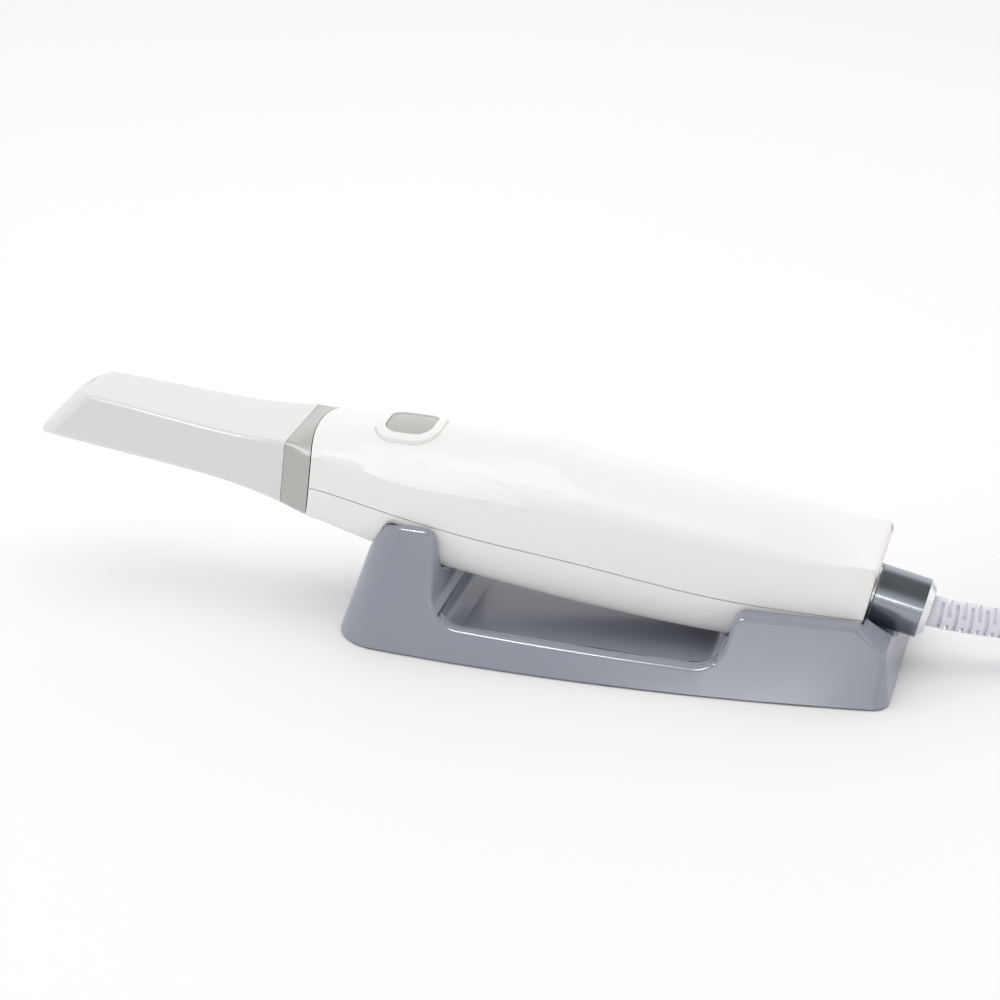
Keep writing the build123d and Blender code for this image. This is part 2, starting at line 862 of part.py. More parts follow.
def make_tie():
    """Strap round the coil's turns at one place."""
    half = coil_layers * cord_radius + fit_gap
    with BuildSketch(Plane.XZ) as section:
        with Locations((coil_turn_radius, tie_thickness + half)):
            RectangleRounded(2 * (half + tie_thickness), 2 * (half + tie_thickness), cord_radius)
            RectangleRounded(2 * half, 2 * half, cord_radius - fit_gap, mode=Mode.SUBTRACT)
    width = math.degrees(tie_width / coil_turn_radius)
    band = revolve(section.sketch, Axis.Z, width)
    return Location((coil_centre[0], coil_centre[1], 0), (0, 0, tie_turn)) * band


def on_coil(shape):
    """Lay the plug, drawn along +X from its cord end, on top of the coil at the tail's end."""
    x, y, z = tail_points[-1]
    return Location((coil_centre[0] + x - rest_gap, coil_centre[1] + y, z), (0, 0, 180)) * shape


def make_usb_shell():
    half_width = usb_shell_width / 2
    half_height = usb_shell_height / 2
    room_width = half_width - usb_shell_wall
    room_height = half_height - usb_shell_wall
    outer = slab((0, -half_width, -half_height), (usb_shell_length, half_width, half_height))
    inner = slab((0, -room_width, -room_height), (usb_shell_length + cut_over, room_width, room_height))
    tongue = slab((0, -room_width, usb_shell_wall), (usb_shell_length * 0.95, room_width, room_height))
    return Pos(usb_grip_length, 0, 0) * (outer - inner + tongue)


def make_usb_grip():
    half = usb_grip_length / 2
    block = Box(usb_grip_length, usb_grip_width, usb_grip_height)
    block = fillet(block.edges().filter_by(Axis.X), usb_grip_round)
    for i in range(3):
        u = -half * 0.5 + i * usb_grip_height * 0.5
        for side in (-1, 1):
            y = side * usb_grip_width / 2
            block = block - Pos(u, y, 0) * Box(boot_slot, 2 * boot_slot, usb_grip_height)
    return Pos(half, 0, 0) * block


def plan_outline(height, front, rear, half_front, half_mid, half_rear, corner):
    """The cradle's outline seen from above at one height, with bowed sides."""
    x0 = cradle_front + front
    x1 = cradle_front + cradle_length - rear
    mid = cradle_front + 0.54 * cradle_length
    with BuildSketch(Plane.XY.offset(height)) as plan:
        with BuildLine():
            ThreePointArc((x0 + cradle_wall, -half_front), (x0, 0), (x0 + cradle_wall, half_front))
            ThreePointArc((x0 + cradle_wall, half_front), (mid, half_mid), (x1, half_rear))
            Line((x1, half_rear), (x1, -half_rear))
            ThreePointArc((x1, -half_rear), (mid, -half_mid), (x0 + cradle_wall, -half_front))
        make_face()
        front_corners = plan.vertices().sort_by(Axis.X)[:2]
        rear_corners = plan.vertices().sort_by(Axis.X)[-2:]
        fillet(front_corners, corner)
        fillet(rear_corners, corner / 3)
    return plan.sketch


def cradle_block(inset, low):
    """The cradle's drafted block, shrunk by an inset."""
    half = cradle_half_width
    floor = plan_outline(low, inset, inset, 0.86 * half - inset, half - inset,
                         0.84 * half - inset, 0.42 * half)
    top = plan_outline(cradle_height, 0.31 * half + inset, 0.16 * half + inset,
                       0.62 * half - inset, 0.55 * half - inset, 0.44 * half - inset, 0.24 * half)
    return Solid.make_loft([floor.wire(), top.wire()], ruled=True)


def round_corner(profile, near, radius):
    """Round the sketch's corner nearest to a point."""
    corner = profile.vertices().sort_by_distance((near[0], near[1], 0))[:1]
    fillet(corner, radius)


def side_profile():
    """The cradle's outline from the side: tall front post, low rim, rear post, sloping rear end."""
    x0 = cradle_front
    x1 = x0 + cradle_length
    gap_front = x0 + front_post_length
    gap_rear = x1 - rear_post_length
    with BuildSketch(Plane.XZ) as profile:
        with BuildLine():
            Polyline(
                (x0 - cut_over, 0),
                (x0 + 0.31 * cradle_half_width, cradle_height),
                (gap_front - cut_over, cradle_height - cut_over / 2),
                (gap_front, rim_front_height),
                (gap_rear, rim_rear_height),
                (gap_rear + cradle_wall, rear_post_height),
                (x1 - rear_slope_length, rear_post_height - cut_over / 2),
                (x1 - rear_slope_length / 3, rear_end_height),
                (x1 + cradle_wall, rear_end_height - cut_over),
                (x1 + cradle_wall, 0),
                close=True,
            )
        make_face()
        round_corner(profile, (x0 + 0.31 * cradle_half_width, cradle_height), 2 * post_top_round)
        round_corner(profile, (gap_front - cut_over, cradle_height), post_top_round)
        round_corner(profile, (gap_front, rim_front_height), post_foot_round)
        round_corner(profile, (gap_rear, rim_rear_height), post_foot_round)
        round_corner(profile, (gap_rear + cradle_wall, rear_post_height), post_top_round)
        round_corner(profile, (x1 - rear_slope_length, rear_post_height), post_top_round)
    return extrude(profile.sketch, far, both=True)


def make_cradle():
    block = cradle_block(0, cradle_lift) & side_profile()
    x0 = cradle_front
    trough_low = x0 + front_post_length + cradle_wall
    trough_high = x0 + cradle_length - rear_post_length - cradle_wall
    trough = slab((trough_low, -trough_half_width, trough_floor), (trough_high, trough_half_width, far))
    trough = fillet(trough.edges().filter_by(Axis.Z), trough_corner)
    trough = fillet(trough.edges().group_by(Axis.Z)[0], trough_corner * 0.55)
    saddle = seated(body_form(rest_gap) - behind_rear(-rest_gap))
    notch = seated(on_connector(Pos(sleeve_radius + cut_over - saddle_notch_radius, 0, 0)
                                * rod(saddle_notch_radius, -rear_wall, far)))
    block = block - trough - saddle - notch
    return block - cradle_cores()


def cradle_cores():
    """Hollows moulded into the underside, under both posts, with a rib left between."""
    x0 = cradle_front
    front_low = x0 + 4 * cradle_wall
    front_high = x0 + front_post_length - cradle_wall
    rear_low = x0 + cradle_length - rear_post_length + cradle_wall
    rear_high = x0 + cradle_length - 3 * cradle_wall
    half = 0.6 * cradle_half_width
    front = slab((front_low, -half, 0), (front_high, half, cradle_height * 0.5))
    rear = slab((rear_low, -half, 0), (rear_high, half, rear_post_height * 0.3))
    front = fillet(front.edges().filter_by(Axis.Z), cradle_wall)
    rear = fillet(rear.edges().filter_by(Axis.Z), cradle_wall)
    return front + rear


def foot_places():
    along = (cradle_front + 0.17 * cradle_length, cradle_front + 0.93 * cradle_length)
    across = 0.62 * cradle_half_width
    return [(x, side * across) for x in along for side in (-1, 1)]


def make_feet():
    feet = []
    for x, y in foot_places():
        feet.append((Pos(x, y, foot_height / 2) * Cylinder(foot_radius, foot_height)).solid())
    return Compound(children=feet)


def cut_foot_seats(cradle):
    for x, y in foot_places():
        cradle = cradle - Pos(x, y, 0) * Cylinder(foot_radius + fit_gap, 2 * foot_height)
    return cradle


outer_form = make_outer_form()
upper_shell, lower_shell = make_shells(outer_form)
sensor_board, image_sensor = make_sensor()

write(seated(make_tip_sleeve()), "tip_sleeve")
write(seated(make_tip_mirror()), "tip_mirror")
write(seated(make_front_collar(outer_form)), "front_collar")
write(seated(make_optical_barrel()), "optical_barrel")
write(seated(make_barrel_window()), "barrel_window")
write(seated(upper_shell), "upper_shell")
write(seated(lower_shell), "lower_shell")
write(seated(make_bezel()), "button_bezel")
write(seated(make_button_cap()), "button_cap")
write(seated(make_plunger()), "switch_plunger")
write(seated(make_tact_switch()), "tact_switch")
write(seated(make_button_board()), "button_board")
write(seated(make_lens_barrel()), "lens_barrel")
lens_end = lens_thickness / 2
write(seated(make_lens(lens_barrel_start + lens_end)), "front_lens")
write(seated(make_lens(lens_barrel_start + lens_barrel_length - lens_end)), "rear_lens")
write(seated(make_prism()), "beam_splitter")
write(seated(make_prism_bracket()), "prism_bracket")
write(seated(make_projector()), "pattern_projector")
write(seated(sensor_board), "camera_board")
write(seated(image_sensor), "image_sensor")
write(seated(make_chassis()), "chassis_plate")
write(seated(make_heat_sink()), "heat_sink")
write(seated(make_standoffs()), "board_standoffs")
write(seated(make_board()), "main_board")
write(seated(make_chips()), "board_chips")
write(seated(make_board_screws()), "board_screws")
write(seated(make_case_screws()), "case_screws")
write(seated(on_connector(make_socket())), "cable_socket")
write(seated(on_connector(make_plug_core())), "plug_core")
write(seated(on_connector(make_plug_insert())), "plug_insert")
write(seated(on_connector(make_release_sleeve())), "release_sleeve")
write(make_strain_relief(), "strain_relief")
write(make_cord(), "cord")
write(make_cord_tail(), "cord_tail")
write(make_coil(), "cord_coil")
write(make_tie(), "coil_tie")
write(on_coil(make_usb_shell()), "usb_shell")
write(on_coil(make_usb_grip()), "usb_grip")
write(cut_foot_seats(make_cradle()), "cradle")
write(make_feet(), "cradle_feet")
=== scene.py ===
import bpy
import bmesh
import math
from mathutils import Matrix, Vector


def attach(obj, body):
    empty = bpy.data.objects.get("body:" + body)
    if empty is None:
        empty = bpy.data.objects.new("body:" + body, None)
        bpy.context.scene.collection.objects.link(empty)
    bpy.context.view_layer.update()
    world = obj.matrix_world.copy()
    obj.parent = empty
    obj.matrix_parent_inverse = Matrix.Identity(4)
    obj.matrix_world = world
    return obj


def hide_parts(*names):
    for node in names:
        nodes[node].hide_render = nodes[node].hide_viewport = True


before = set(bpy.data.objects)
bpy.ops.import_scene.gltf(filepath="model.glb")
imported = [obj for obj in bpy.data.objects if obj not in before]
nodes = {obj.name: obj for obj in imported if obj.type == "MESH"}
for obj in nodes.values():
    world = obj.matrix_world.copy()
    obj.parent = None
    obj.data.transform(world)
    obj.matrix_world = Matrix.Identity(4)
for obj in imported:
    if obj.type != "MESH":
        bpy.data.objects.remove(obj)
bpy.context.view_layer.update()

# Viewpoint of the photograph: a long lens on the cradle's near side, a little towards the cable
# end and looking down on it, so that the scanner lies across the middle of the picture.
camera_turn = math.radians(15.4)
camera_down = math.radians(24.3)
camera_away = 0.804
camera_aim = Vector((0.0075, 0.0, 0.038))
lens_mm = 95.5
sensor_mm = 36
camera_data = bpy.data.cameras.new("studio_camera")
camera_data.lens = lens_mm
camera_data.sensor_width = sensor_mm
camera = bpy.data.objects.new("studio_camera", camera_data)
camera.location = camera_aim + camera_away * Vector((
    math.sin(camera_turn) * math.cos(camera_down),
    -math.cos(camera_turn) * math.cos(camera_down),
    math.sin(camera_down),
))
camera.rotation_euler = (math.pi / 2 - camera_down, 0, camera_turn)
bpy.context.scene.collection.objects.link(camera)
bpy.context.scene.camera = camera


# Cord: a 5.8 mm round lead with a soft TPE jacket, extruded and left matt, pale lavender grey.
# It leaves the plug through the strain relief, sinks to the table and is wound into a tied coil
# of nine turns, three to a layer, with the computer plug lying on top.
def srgb(code):
    """Linear colour of a hex sRGB value."""
    values = [int(code[i:i + 2], 16) / 255 for i in (1, 3, 5)]
    linear = [v / 12.92 if v <= 0.04045 else ((v + 0.055) / 1.055) ** 2.4 for v in values]
    return (*linear, 1)


def add(tree, kind, sockets=None, **settings):
    """Add a node with its settings, its values and its links."""
    made = tree.nodes.new(kind)
    for name, value in settings.items():
        setattr(made, name, value)
    for name, value in (sockets or {}).items():
        if isinstance(value, bpy.types.NodeSocket):
            tree.links.new(value, made.inputs[name])
        else:
            made.inputs[name].default_value = value
    return made


def grained_finish(name, light, dark, patch, grain, bump, roughness, **sockets):
    """A finish of two near colours in soft patches over a fine grain, both sized in metres."""
    roughness_swing = 0.08
    grain_height = 0.0001
    material = bpy.data.materials.new(name)
    material.use_nodes = True
    tree = material.node_tree
    tree.nodes.clear()
    place = add(tree, "ShaderNodeTexCoord").outputs["Object"]
    cloud = add(tree, "ShaderNodeTexNoise", {"Vector": place, "Scale": 1 / patch, "Detail": 2.0})
    tint = add(tree, "ShaderNodeMix", {"Factor": cloud.outputs["Fac"], 6: srgb(light), 7: srgb(dark)},
               data_type="RGBA")
    gloss = add(tree, "ShaderNodeMapRange", {
        "Value": cloud.outputs["Fac"], "From Min": 0.3, "From Max": 0.7,
        "To Min": roughness * (1 - roughness_swing), "To Max": roughness * (1 + roughness_swing)})
    fine = add(tree, "ShaderNodeTexNoise", {"Vector": place, "Scale": 1 / grain, "Detail": 3.0})
    relief = add(tree, "ShaderNodeBump", {"Height": fine.outputs["Fac"], "Strength": bump,
                                          "Distance": grain_height})
    shader = add(tree, "ShaderNodeBsdfPrincipled", {
        "Base Color": tint.outputs[2], "Roughness": gloss.outputs["Result"],
        "Normal": relief.outputs["Normal"], **sockets})
    add(tree, "ShaderNodeOutputMaterial", {"Surface": shader.outputs[0]})
    return material


def eased(value, low, high):
    """Smooth rise from 0 at one value to 1 at another."""
    share = min(1.0, max(0.0, (value - low) / (high - low)))
    return share * share * (3 - 2 * share)


cord_diameter = 0.0058
coil_middle = (0.2075, 0.048)
coil_turn = 0.033
coil_layer_low = 0.0039
coil_turns = 9
coil_layers = 3
coil_points_a_turn = 16
coil_crossing_share = 0.25
coil_entry_angle = math.radians(-92.2)
coil_leaving_angle = math.radians(-20.0)
cord_lead = [(0.1374, 0.0, 0.01845), (0.147, 0.0003, 0.0163), (0.160, 0.0034, 0.0152),
             (0.1746, 0.00743, 0.01228), (0.184, 0.010, 0.0104), (0.1945, 0.011, 0.0062)]
cord_tail = [(0.0273, 0.0055, 0.0180), (0.0206, 0.0185, 0.0216), (0.0105, 0.0263, 0.0227),
             (0.0, 0.0272, 0.0227)]

# Each layer is wound the other way across, and the last quarter of a turn crosses to the next place.
turn_places = [(across if layer % 2 == 0 else -across, layer)
               for layer in range(coil_layers) for across in (1, 0, -1)]
turn_places.append(turn_places[-1])
whole_turn = coil_leaving_angle - coil_entry_angle + coil_turns * 2 * math.pi
steps = coil_turns * coil_points_a_turn
route = list(cord_lead)
for step in range(steps + 1):
    wound = step / coil_points_a_turn
    turn = min(int(wound), coil_turns - 1)
    share = eased(wound - turn, 1 - coil_crossing_share, 1)
    here, after = turn_places[turn], turn_places[turn + 1]
    across = here[0] + (after[0] - here[0]) * share
    layer = here[1] + (after[1] - here[1]) * share
    radius = (coil_turn + across * cord_diameter) / math.cos(math.pi / coil_points_a_turn)
    angle = coil_entry_angle + whole_turn * step / steps
    route.append((coil_middle[0] + radius * math.cos(angle), coil_middle[1] + radius * math.sin(angle),
                  coil_layer_low + layer * cord_diameter))
route += [(coil_middle[0] + x, coil_middle[1] + y, z) for x, y, z in cord_tail]

cord_curve = bpy.data.curves.new("cord_line", "CURVE")
cord_curve.dimensions = "3D"
cord_curve.bevel_depth = cord_diameter / 2
cord_curve.bevel_resolution = 6
cord_curve.resolution_u = 8
cord_curve.use_fill_caps = True
cord_line = cord_curve.splines.new("NURBS")
cord_line.points.add(len(route) - 1)
for point, place in zip(cord_line.points, route):
    point.co = (*place, 1)
cord_line.order_u = 3
cord_line.use_endpoint_u = True
cord = bpy.data.objects.new("jacketed_cord", cord_curve)
bpy.context.scene.collection.objects.link(cord)
# Extruded TPE: a dry, almost chalky lavender that spreads its highlight along the whole cord.
cord_jacket = grained_finish("lavender_tpe_extruded", "#dddbe4", "#d8d6df", 0.02, 0.0005, 0.10, 0.52)
cord_curve.materials.append(cord_jacket)
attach(cord, "root")
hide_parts("cord", "cord_tail", "cord_coil")


# Strain relief: a boot moulded over the cord in the same soft TPE, and gripped by the plug. Its
# slots let it bend, and the bridges between them swap sides from slot to slot.
weld_distance = 0.000002


def copied(node):
    """A mesh of one CAD solid with its loose triangles merged, ready to be worked on."""
    made = bmesh.new()
    made.from_mesh(nodes[node].data)
    bmesh.ops.remove_doubles(made, verts=made.verts, dist=weld_distance)
    return made


def placed(name, made, body, material, replaced, sharp=32):
    """Make a worked mesh a smooth-shaded piece that rides on a body in place of CAD solids."""
    limit = math.radians(sharp)
    for face in made.faces:
        face.smooth = True
    for edge in made.edges:
        edge.smooth = len(edge.link_faces) == 2 and edge.calc_face_angle(0) < limit
    mesh = bpy.data.meshes.new(name)
    made.to_mesh(mesh)
    made.free()
    mesh.materials.append(material)
    piece = bpy.data.objects.new(name, mesh)
    bpy.context.scene.collection.objects.link(piece)
    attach(piece, body)
    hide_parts(*replaced)
    return piece


# Moulded TPE: a shade lighter and smoother than the cord, because the tool's face is finer.
boot_rubber = grained_finish("lavender_tpe_moulded", "#e4e2e9", "#dfdde5", 0.015, 0.0004, 0.08, 0.48)
# The slots' walls in the same rubber, painted greyer than the boot as painted shade, so that each slot reads
# as a dark line across it.
painted_slot_shade = grained_finish("lavender_tpe_with_painted_slot_shade", "#8f8d96", "#87858e", 0.015, 0.0004, 0.08, 0.6)
slot_wall_slope = 0.8
boot_end_face = 0.136
boot_body = copied("strain_relief")
# Faces of the slots' walls take the second material, which carries the painted shade of the slots.
for face in boot_body.faces:
    if abs(face.normal.x) > slot_wall_slope and face.calc_center_median().x < boot_end_face:
        face.material_index = 1
boot = placed("slotted_strain_relief", boot_body, "root", boot_rubber, ["strain_relief"])
boot.data.materials.append(painted_slot_shade)

# Coil tie: a short hook-and-loop strap, woven in grey polyamide, closed round all nine turns.
# Its weave repeats every millimetre, drawn twice as coarse as the real one so that it shows.
weave_height = 0.0003
# A wave texture repeats in 0.314 of its size, so that 6.4 mm draws the weave every 2 mm.
weave_size = 0.0064
# Woven polyamide: dull, with paler crossings that stand proud and read as cloth, not as rubber.
strap = bpy.data.materials.new("grey_polyamide_woven")
strap.use_nodes = True
tree = strap.node_tree
tree.nodes.clear()
place = add(tree, "ShaderNodeTexCoord").outputs["Object"]
rows = add(tree, "ShaderNodeTexWave", {"Vector": place, "Scale": 1 / weave_size, "Distortion": 0.6})
cols = add(tree, "ShaderNodeTexWave", {"Vector": place, "Scale": 1 / weave_size, "Distortion": 0.6},
           bands_direction="Z")
weave = add(tree, "ShaderNodeMath", {0: rows.outputs["Fac"], 1: cols.outputs["Fac"]}, operation="MULTIPLY")
tint = add(tree, "ShaderNodeMix", {"Factor": weave.outputs[0], 6: srgb("#b9b8bf"), 7: srgb("#cfced4")},
           data_type="RGBA")
relief = add(tree, "ShaderNodeBump", {"Height": weave.outputs[0], "Strength": 0.5, "Distance": weave_height})
shader = add(tree, "ShaderNodeBsdfPrincipled", {"Base Color": tint.outputs[2], "Roughness": 0.8,
                                                "Normal": relief.outputs["Normal"]})
add(tree, "ShaderNodeOutputMaterial", {"Surface": shader.outputs[0]})
tie = placed("woven_coil_tie", copied("coil_tie"), "root", strap, ["coil_tie"])

# Computer plug: a stamped and folded steel shell, nickel plated, in a grip moulded from the
# cord's own TPE with three finger grooves on each side.
plug_grip = placed("finger_grooved_plug_grip", copied("usb_grip"), "root", boot_rubber, ["usb_grip"])
# Plated sheet steel: a bright, cool grey with softly blurred reflections, because it isn't polished.
plated_steel = grained_finish("nickel_plated_steel_pressed", "#c9cbcd", "#bfc1c4", 0.01, 0.0003, 0.03, 0.22,
                              Metallic=1.0)
plug_shell = placed("folded_plug_shell", copied("usb_shell"), "root", plated_steel, ["usb_shell"])

# Release sleeve: a turned brass sleeve in dark satin nickel with a bright chamfer, slid back to
# free the plug. The lathe's rings are drawn about 0.3 mm apart, coarser than the real ones, so
# that they show.
seat_tilt = 6.8
rear_lean = 6.1
seat_turn = math.radians(seat_tilt)
plug_turn = math.radians(seat_tilt + rear_lean)
plug_root = Vector((0.121654, 0.0, 0.022044))
plug_line = Vector((math.cos(plug_turn), 0, -math.sin(plug_turn)))
ring_pitch = 0.0003
ring_height = 0.0001
chamfer_slopes = (0.35, 0.9)
# Turned nickel: a dark grey metal whose rings draw its reflections out into bands along the sleeve.
dark_nickel = bpy.data.materials.new("dark_nickel_turned")
dark_nickel.use_nodes = True
tree = dark_nickel.node_tree
tree.nodes.clear()
place = add(tree, "ShaderNodeTexCoord").outputs["Object"]
along = add(tree, "ShaderNodeVectorMath", {0: place, 1: tuple(plug_line)}, operation="DOT_PRODUCT")
rings = add(tree, "ShaderNodeTexNoise", {"W": along.outputs["Value"], "Scale": 1 / ring_pitch, "Detail": 2.0},
            noise_dimensions="1D")
tint = add(tree, "ShaderNodeMix", {"Factor": rings.outputs["Fac"], 6: srgb("#8d9298"), 7: srgb("#9a9fa5")},
           data_type="RGBA")
relief = add(tree, "ShaderNodeBump", {"Height": rings.outputs["Fac"], "Strength": 0.05,
                                      "Distance": ring_height})
shader = add(tree, "ShaderNodeBsdfPrincipled", {"Base Color": tint.outputs[2], "Metallic": 1.0,
                                                "Roughness": 0.20, "Normal": relief.outputs["Normal"]})
add(tree, "ShaderNodeOutputMaterial", {"Surface": shader.outputs[0]})
sleeve_body = copied("release_sleeve")
for face in sleeve_body.faces:
    if chamfer_slopes[0] < face.normal.dot(plug_line) < chamfer_slopes[1]:
        face.material_index = 1
sleeve = placed("turned_release_sleeve", sleeve_body, "release", dark_nickel, ["release_sleeve"])


# Plug and socket behind the sleeve: turned brass with bright nickel, and a black insert moulded
# in glass-filled PBT that carries the pins. The plug is pushed in and held by the sleeve.
def finished(material, *names):
    """Give CAD solids that need no other work their material."""
    for name in names:
        nodes[name].data.materials[0] = material


# Bright nickel: near white and almost a mirror, so that it takes its tone from the studio.
bright_nickel = grained_finish("bright_nickel_turned", "#eceeef", "#e4e6e8", 0.01, 0.0003, 0.03, 0.2,
                               Metallic=1.0)
# Glass-filled PBT: a dull black with a faint sheen.
black_pbt = grained_finish("black_pbt_moulded", "#1b1b1d", "#222225", 0.01, 0.0003, 0.1, 0.5)
sleeve.data.materials.append(bright_nickel)
placed("plug_core_turned", copied("plug_core"), "root", bright_nickel, ["plug_core"])
finished(bright_nickel, "cable_socket")
finished(black_pbt, "plug_insert")

# Scan tip: a slide-off sleeve moulded in pale grey steam-proof polymer, with a mirror glued
# into its nose. Its long edges are only lightly rounded and catch the light as a bright line.
tip_sharp_degrees = 40
# Silk-faced polymer: pale grey, with a sheen that shows the studio softly along the flat sides.
tip_polymer = grained_finish("pale_grey_polymer_silk_moulded", "#e2e0e1", "#dfdddf", 0.03, 0.0005, 0.04, 0.24,
                             IOR=1.5)
placed("scan_tip_sleeve", copied("tip_sleeve"), "tip", tip_polymer, ["tip_sleeve"], tip_sharp_degrees)
# Front silvering: a clean, near perfect mirror.
silvering = grained_finish("front_silvered_glass", "#eef0f0", "#eaeded", 0.02, 0.001, 0.0, 0.03, Metallic=1.0)
finished(silvering, "tip_mirror")

# Collar: a ring moulded in warm grey polymer, which closes the front of the white body. Through it
# stands the black nozzle that carries the tip, with a glass window at its end.
collar_sharp_degrees = 25
# Satin polymer: an even warm grey whose highlight stays broad and soft.
collar_polymer = grained_finish("warm_grey_polymer_satin_moulded", "#b9b8b5", "#b5b4b1", 0.02, 0.0005, 0.05,
                                0.36)
placed("satin_front_collar", copied("front_collar"), "root", collar_polymer, ["front_collar"],
       collar_sharp_degrees)
# Turned PEEK: black with a low sheen, so that little stray light gets back into the optics.
black_peek = grained_finish("black_peek_turned", "#17171a", "#1d1d20", 0.01, 0.0003, 0.08, 0.45)
finished(black_peek, "optical_barrel")
# Coated glass: clear and sharp, with a faint blue-green cast from the coating.
coated_glass = grained_finish("coated_optical_glass", "#e3eff0", "#dfeef2", 0.02, 0.001, 0.0, 0.02,
                              IOR=1.52, **{"Transmission Weight": 0.9})
finished(coated_glass, "barrel_window", "front_lens", "rear_lens", "beam_splitter")

# Body: two shells moulded in white ABS from a finely spark-eroded tool, which leaves a silky
# face. They meet in a fine dark seam and are held by four screws from below. A raised thumb rest
# behind the button drops off in a short step.
shell_sharp_degrees = 28
seat_place = (-0.0565, 0, 0.045)
seat = Matrix.Translation(seat_place) @ Matrix.Rotation(seat_turn, 4, "Y")
seat_axes = seat.to_3x3()
worked_stretch = (0.010, 0.112)
worked_height = 0.0095
worked_slope = 0.12
smoothed_stretch = (0.0125, 0.110)
smoothed_height = 0.0098
smoothed_slope = 0.1
smoothing_passes = 26
cut_start = 0.012
cut_pitch_along = 0.002
cuts_along = 49
cut_pitch_across = 0.0015
cuts_each_side = 13
step_crease = 0.0004
button_place = 0.0343
button_half_length = 0.0125
button_half_width = 0.0118
button_margin = 0.001
thumb_step = 0.0010
thumb_ramp = 0.026
thumb_edge = 0.0835
thumb_foot = 0.0882
thumb_flat_half_width = 0.0085
thumb_slope_half_width = 0.0138
ledge_height = 0.01461
ledge_band = 0.0003
ledge_inner = 0.009
ledge_width = 0.0012


def measured(place):
    """A place told along the scanner from its collar, across it and up from its axis."""
    return seat.inverted() @ place


def by_button(spot, margin):
    """Whether a measured place lies at the button's bezel or within a margin of it."""
    return (abs(spot.x - button_place) < button_half_length + margin
            and abs(spot.y) < button_half_width + margin)


def cut_across(made, faces, places, axis):
    """Cut some faces by planes along the scanner, or across it, so that they can be shaped."""
    normal = seat_axes @ Vector(axis)
    for place in places:
        edges = {e for f in faces for e in f.edges}
        verts = {v for e in edges for v in e.verts}
        cut = bmesh.ops.bisect_plane(made, geom=list(verts) + list(edges) + list(faces), dist=weld_distance,
                                     plane_co=seat @ (Vector(axis) * place), plane_no=normal)
        new_faces = {g for g in cut["geom"] if isinstance(g, bmesh.types.BMFace)}
        faces = new_faces | {f for f in faces if f.is_valid}
    return faces


def softened_thumb_rest(made):
    """Blend the raised thumb rest into the back, and give it its short crisp step at the rear."""
    faces = set()
    for face in made.faces:
        spot = measured(face.calc_center_median())
        if (worked_stretch[0] < spot.x < worked_stretch[1] and spot.z > worked_height
                and face.normal.z > worked_slope and not by_button(spot, 0)):
            faces.add(face)
    places = [cut_start + cut_pitch_along * i for i in range(cuts_along)]
    places += [thumb_edge - step_crease, thumb_edge, thumb_edge + step_crease]
    places += [thumb_foot, thumb_foot + 2 * step_crease]
    faces = cut_across(made, faces, places, (1, 0, 0))
    places = [cut_pitch_across * i for i in range(-cuts_each_side, cuts_each_side + 1)]
    cut_across(made, faces, places, (0, 1, 0))
    bmesh.ops.triangulate(made, faces=[f for f in made.faces if len(f.verts) > 4])

    # The narrow ledge that the solid leaves along the rest is closed up before the smoothing.
    ledge = []
    for vert in made.verts:
        spot = measured(vert.co)
        if (abs(spot.z - ledge_height) < ledge_band and abs(spot.y) > ledge_inner
                and cut_start < spot.x < worked_stretch[1]):
            ledge.append(vert)
    bmesh.ops.remove_doubles(made, verts=ledge, dist=ledge_width)
    made.normal_update()
    inner = []
    for vert in made.verts:
        spot = measured(vert.co)
        if (smoothed_stretch[0] < spot.x < smoothed_stretch[1] and spot.z > smoothed_height
                and vert.normal.z > smoothed_slope and not by_button(spot, button_margin)):
            inner.append(vert)
    for _ in range(smoothing_passes):
        bmesh.ops.smooth_vert(made, verts=inner, factor=0.5,
                              use_axis_x=True, use_axis_y=True, use_axis_z=True)
    for vert in inner:
        spot = measured(vert.co)
        if spot.x < thumb_edge + step_crease / 4:
            rise = eased(spot.x, thumb_edge - thumb_ramp, thumb_edge)
        else:
            rise = max(0.0, 1 - (spot.x - thumb_edge) / (thumb_foot - thumb_edge))
        rise *= 1 - eased(abs(spot.y), thumb_flat_half_width, thumb_slope_half_width)
        vert.co += seat_axes @ Vector((0, 0, thumb_step * rise))
    return made


def lowered_rear(made, fall=0.0012, start=0.145, end=0.182, full_height=0.017):
    """Bring the back's line straight down to the rear corner."""
    for vert in made.verts:
        spot = measured(vert.co)
        share = eased(spot.x, start, end) * min(1.0, max(0.0, spot.z / full_height))
        vert.co -= seat_axes @ Vector((0, 0, fall * share))
    return made


def rounded_rear(made, radius=0.0026, wall_line=0.1798, plug_clearance=0.009):
    """Round the edge where the sides run into the leaning rear face, as the tool does."""
    cut_shares = (0.04, 0.15, 0.32, 0.55, 0.8, 1.0)
    side_limit = 0.5
    outward_limit = 0.55
    rear_turn = math.radians(rear_lean)
    axis = seat_axes @ Vector((math.cos(rear_turn), 0, -math.sin(rear_turn)))
    rear = seat @ Vector((wall_line, 0, 0))
    for share in cut_shares:
        bmesh.ops.bisect_plane(made, geom=made.verts[:] + made.edges[:] + made.faces[:],
                               dist=weld_distance / 4, plane_co=rear - axis * radius * share, plane_no=axis)
    made.normal_update()
    moves = {}
    for vert in made.verts:
        depth = (rear - vert.co).dot(axis)
        sides = [f for f in vert.link_faces if abs(f.normal.dot(axis)) < side_limit]
        spoke = vert.co - plug_root - axis * (vert.co - plug_root).dot(axis)
        if depth > radius or not sides or spoke.length < plug_clearance:
            continue
        outer = [f for f in sides if f.normal.dot(spoke.normalized()) > outward_limit]
        outward = sum((f.normal * f.calc_area() for f in outer), Vector())
        if outward.length == 0:
            continue
        back = radius - max(depth, 0.0)
        moves[vert] = -outward.normalized() * (radius - math.sqrt(radius ** 2 - back ** 2))
    for vert, move in moves.items():
        vert.co += move
    return made


